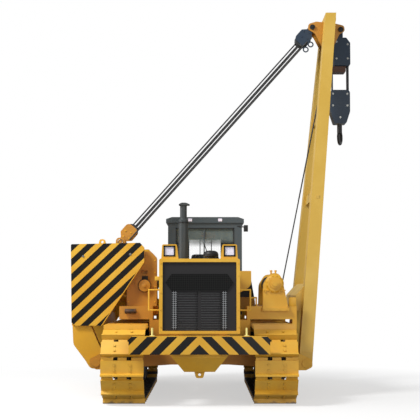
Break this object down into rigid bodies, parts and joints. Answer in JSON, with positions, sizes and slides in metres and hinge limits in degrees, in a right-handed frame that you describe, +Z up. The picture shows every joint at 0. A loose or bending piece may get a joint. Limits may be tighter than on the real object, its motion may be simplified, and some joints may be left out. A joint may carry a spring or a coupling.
{
  "type": "crawler pipelayer",
  "caption": "Crawler pipelayer with a side boom, hook block, luffing tackle, swing-out counterweight and a cab, parked with its boom up.",
  "frame": {"origin": "Bottom centre of the whole machine as parked, on the ground under its box.", "axes": "+Z up, -Y forward to the radiator, +X to the boom side."},
  "size_m": [4.0836, 4.045, 5.66],
  "materials": {
    "yellow_paint": "semi-gloss",
    "dark_paint": "satin",
    "cab_paint": "semi-gloss",
    "block_paint": "satin",
    "wire_rope": "greased",
    "bare_steel": "machined",
    "cast_steel": "rough",
    "lamp_glass": "clear",
    "cab_pane": "clear",
    "seat_fabric": "woven"
  },
  "bodies": {
    "chassis": {"main_frame": "yellow_paint", "front_bumper": "yellow_paint", "front_tow_eye": "yellow_paint", "equaliser_bar": "yellow_paint", "radiator_guard": "yellow_paint", "grille": "dark_paint", "radiator": "bare_steel", "hood": "yellow_paint", "engine": "cast_steel", "exhaust_stack": "dark_paint", "precleaner": "dark_paint", "headlamps": "yellow_paint", "lamp_lenses": "lamp_glass", "platform": "yellow_paint", "cab_shell": "cab_paint", "cab_roof": "cab_paint", "cab_glass": "cab_pane", "operator_seat": "seat_fabric", "cab_fittings": "dark_paint", "hydraulic_tank": "yellow_paint", "side_locker": "dark_paint", "fuel_tank": "yellow_paint", "drawbar": "yellow_paint", "handrails": "yellow_paint", "boom_side_frame": "yellow_paint", "weight_side_frame": "yellow_paint", "winch_rails": "yellow_paint", "hoist_winch": "yellow_paint", "hoist_drum": "wire_rope", "luff_winch": "yellow_paint", "luff_drum": "wire_rope", "cylinder_bracket": "yellow_paint", "tackle_tower": "yellow_paint", "track_left": "yellow_paint", "track_right": "yellow_paint", "track_frames": "yellow_paint", "idlers": "yellow_paint", "track_rollers": "yellow_paint", "final_drives": "yellow_paint"},
    "boom": {"boom_frame": "yellow_paint", "boom_head": "yellow_paint"},
    "luff_tackle_lower": {"luff_block_lower": "yellow_paint", "luff_ropes_lower": "wire_rope"},
    "luff_tackle_upper": {"luff_block_upper": "block_paint", "luff_ropes_upper": "wire_rope"},
    "hoist_line_lower": {"hoist_rope_lower": "wire_rope"},
    "hoist_line_upper": {"hoist_rope_upper": "wire_rope"},
    "load_tackle": {"load_block": "block_paint", "load_falls": "wire_rope", "hook_block": "block_paint"},
    "hook": {"hook": "cast_steel"},
    "counterweight": {"counterweight": "yellow_paint", "counterweight_arms": "yellow_paint"},
    "cylinder_barrel": {"cylinder_barrel": "yellow_paint"},
    "cylinder_rod": {"cylinder_rod": "bare_steel"},
    "cab_door": {"cab_door": "cab_paint", "door_glass": "cab_pane"}
  },
  "joints": [
    {"name": "boom_luff", "type": "hinge", "parent": "chassis", "child": "boom", "pos_m": [1.23184, 0.1025, 0.49], "axis": [0, 1, 0], "range_deg": [0, 65]},
    {"name": "luff_tackle_lower_swing", "type": "hinge", "parent": "chassis", "child": "luff_tackle_lower", "pos_m": [-1.43816, 0.1025, 2.23], "axis": [0, 1, 0], "range_deg": [0, 47.6]},
    {"name": "luff_tackle_upper_swing", "type": "hinge", "parent": "boom", "child": "luff_tackle_upper", "pos_m": [1.46184, 0.1025, 5.49], "axis": [0, 1, 0], "range_deg": [-18.4, 0]},
    {"name": "hoist_line_lower_swing", "type": "hinge", "parent": "chassis", "child": "hoist_line_lower", "pos_m": [0.90764, 0.1025, 1.5708], "axis": [0, 1, 0], "range_deg": [0, 72.7]},
    {"name": "hoist_line_upper_swing", "type": "hinge", "parent": "boom", "child": "hoist_line_upper", "pos_m": [1.58872, 0.1025, 5.39569], "axis": [0, 1, 0], "range_deg": [0, 7.7]},
    {"name": "load_block_swing", "type": "hinge", "parent": "boom", "child": "load_tackle", "pos_m": [1.89184, 0.1025, 5.455], "axis": [0, 1, 0], "range_deg": [-65.5, 0]},
    {"name": "hook_swivel", "type": "hinge", "parent": "load_tackle", "child": "hook", "pos_m": [1.88184, 0.1025, 4.01], "axis": [0, 0, 1], "continuous": true},
    {"name": "counterweight_swing", "type": "hinge", "parent": "chassis", "child": "counterweight", "pos_m": [-1.67816, 0.1025, 0.5], "axis": [0, -1, 0], "range_deg": [0, 30]},
    {"name": "cylinder_barrel_swing", "type": "hinge", "parent": "chassis", "child": "cylinder_barrel", "pos_m": [-0.87816, -0.1675, 1.34], "axis": [0, -1, 0], "range_deg": [0, 3.6]},
    {"name": "cylinder_rod_slide", "type": "slide", "parent": "cylinder_barrel", "child": "cylinder_rod", "axis": [-0.9957, 0, 0.0926], "range_m": [0, 0.4743]},
    {"name": "cab_door_hinge", "type": "hinge", "parent": "chassis", "child": "cab_door", "pos_m": [0.41684, 1.2165, 1.8], "axis": [0, 0, 1], "range_deg": [0, 85]}
  ],
  "couplings": [
    {"joint": "luff_tackle_lower_swing", "follows": "boom_luff", "ratio": 0.72388},
    {"joint": "luff_tackle_upper_swing", "follows": "boom_luff", "ratio": -0.27612},
    {"joint": "hoist_line_lower_swing", "follows": "boom_luff", "ratio": 1.1102},
    {"joint": "hoist_line_upper_swing", "follows": "boom_luff", "ratio": 0.11018},
    {"joint": "load_block_swing", "follows": "boom_luff", "ratio": -1},
    {"joint": "cylinder_barrel_swing", "follows": "counterweight_swing", "ratio": 0.10499},
    {"joint": "cylinder_rod_slide", "follows": "counterweight_swing", "m_per_rad": 0.90207}
  ]
}
